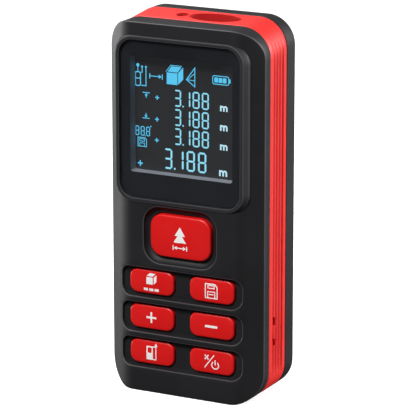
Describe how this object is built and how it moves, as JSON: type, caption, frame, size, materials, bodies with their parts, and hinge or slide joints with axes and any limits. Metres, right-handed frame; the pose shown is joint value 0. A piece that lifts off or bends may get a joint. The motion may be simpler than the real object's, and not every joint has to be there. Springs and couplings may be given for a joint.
{
  "type": "laser distance meter",
  "caption": "Handheld laser distance meter with a display window, a keypad, a ribbed grip band, top optics and a hinged battery door.",
  "frame": {"origin": "middle of the bottom face, which is also the rear measuring reference", "axes": "+X is the meter's right side seen from the display, -Y is the display side, +Z points along the laser beam to the optics end"},
  "size_m": [0.052, 0.028, 0.1162],
  "materials": {
    "soft_touch_black": "soft-touch matte",
    "band_red": "satin elastomer",
    "key_red": "satin gloss",
    "lens_glass": "clear window with a black printed border",
    "mat_rubber": "matte silicone",
    "lcd_dark": "dark negative display",
    "diffuser_white": "matte",
    "grey_plastic": "matte",
    "black_plastic": "matte moulding",
    "board_green": "solder mask",
    "ribbon_amber": "polyimide film",
    "screw_steel": "zinc plated",
    "contact_nickel": "nickel plated",
    "brass": "turned",
    "optic_glass": "coated clear lens",
    "battery_wrap": "gloss film"
  },
  "bodies": {
    "housing": {"backlight_plate": "diffuser_white", "battery_left": "battery_wrap", "battery_right": "battery_wrap", "battery_spring_left": "screw_steel", "battery_spring_right": "screw_steel", "board_screw_lower_left": "screw_steel", "board_screw_lower_right": "screw_steel", "board_screw_upper_left": "screw_steel", "board_screw_upper_right": "screw_steel", "bracket_screw_left": "screw_steel", "bracket_screw_right": "screw_steel", "buzzer": "black_plastic", "case_screw_lower_left": "screw_steel", "case_screw_lower_right": "screw_steel", "case_screw_upper_left": "screw_steel", "case_screw_upper_right": "screw_steel", "clear_power_switch": "black_plastic", "display_ribbon": "ribbon_amber", "display_shroud": "grey_plastic", "front_shell": "soft_touch_black", "keypad_mat": "mat_rubber", "laser_diode": "brass", "laser_lens": "optic_glass", "laser_tube": "brass", "lcd_panel": "lcd_dark", "link_contact": "contact_nickel", "main_board": "board_green", "measure_switch": "black_plastic", "menu_switch": "black_plastic", "mid_band": "band_red", "minus_switch": "black_plastic", "negative_contact": "contact_nickel", "optics_bracket": "black_plastic", "plus_switch": "black_plastic", "positive_contact": "contact_nickel", "processor_chip": "black_plastic", "rear_shell": "soft_touch_black", "receiver_lens": "optic_glass", "receiver_sensor": "contact_nickel", "reference_switch": "black_plastic", "save_switch": "black_plastic", "sensor_board": "board_green", "window_lens": "lens_glass"},
    "measure_button": {"measure_key": "key_red", "measure_switch_stem": "grey_plastic"},
    "menu_button": {"menu_key": "key_red", "menu_switch_stem": "grey_plastic"},
    "save_button": {"save_key": "key_red", "save_switch_stem": "grey_plastic"},
    "plus_button": {"plus_key": "key_red", "plus_switch_stem": "grey_plastic"},
    "minus_button": {"minus_key": "key_red", "minus_switch_stem": "grey_plastic"},
    "reference_button": {"reference_key": "key_red", "reference_switch_stem": "grey_plastic"},
    "clear_power_button": {"clear_power_key": "key_red", "clear_power_switch_stem": "grey_plastic"},
    "door": {"battery_door": "soft_touch_black"}
  },
  "joints": [
    {"name": "measure_press", "type": "slide", "parent": "housing", "child": "measure_button", "axis": [0, 1, 0], "range_m": [0, 0.0005], "stiffness_N_per_m": 800, "springref_m": -0.001},
    {"name": "menu_press", "type": "slide", "parent": "housing", "child": "menu_button", "axis": [0, 1, 0], "range_m": [0, 0.0005], "stiffness_N_per_m": 800, "springref_m": -0.001},
    {"name": "save_press", "type": "slide", "parent": "housing", "child": "save_button", "axis": [0, 1, 0], "range_m": [0, 0.0005], "stiffness_N_per_m": 800, "springref_m": -0.001},
    {"name": "plus_press", "type": "slide", "parent": "housing", "child": "plus_button", "axis": [0, 1, 0], "range_m": [0, 0.0005], "stiffness_N_per_m": 800, "springref_m": -0.001},
    {"name": "minus_press", "type": "slide", "parent": "housing", "child": "minus_button", "axis": [0, 1, 0], "range_m": [0, 0.0005], "stiffness_N_per_m": 800, "springref_m": -0.001},
    {"name": "reference_press", "type": "slide", "parent": "housing", "child": "reference_button", "axis": [0, 1, 0], "range_m": [0, 0.0005], "stiffness_N_per_m": 800, "springref_m": -0.001},
    {"name": "clear_power_press", "type": "slide", "parent": "housing", "child": "clear_power_button", "axis": [0, 1, 0], "range_m": [0, 0.0005], "stiffness_N_per_m": 800, "springref_m": -0.001},
    {"name": "door_hinge", "type": "hinge", "parent": "housing", "child": "door", "pos_m": [0, 0.013, 0.0062], "axis": [-1, 0, 0], "range_deg": [0, 75]}
  ]
}
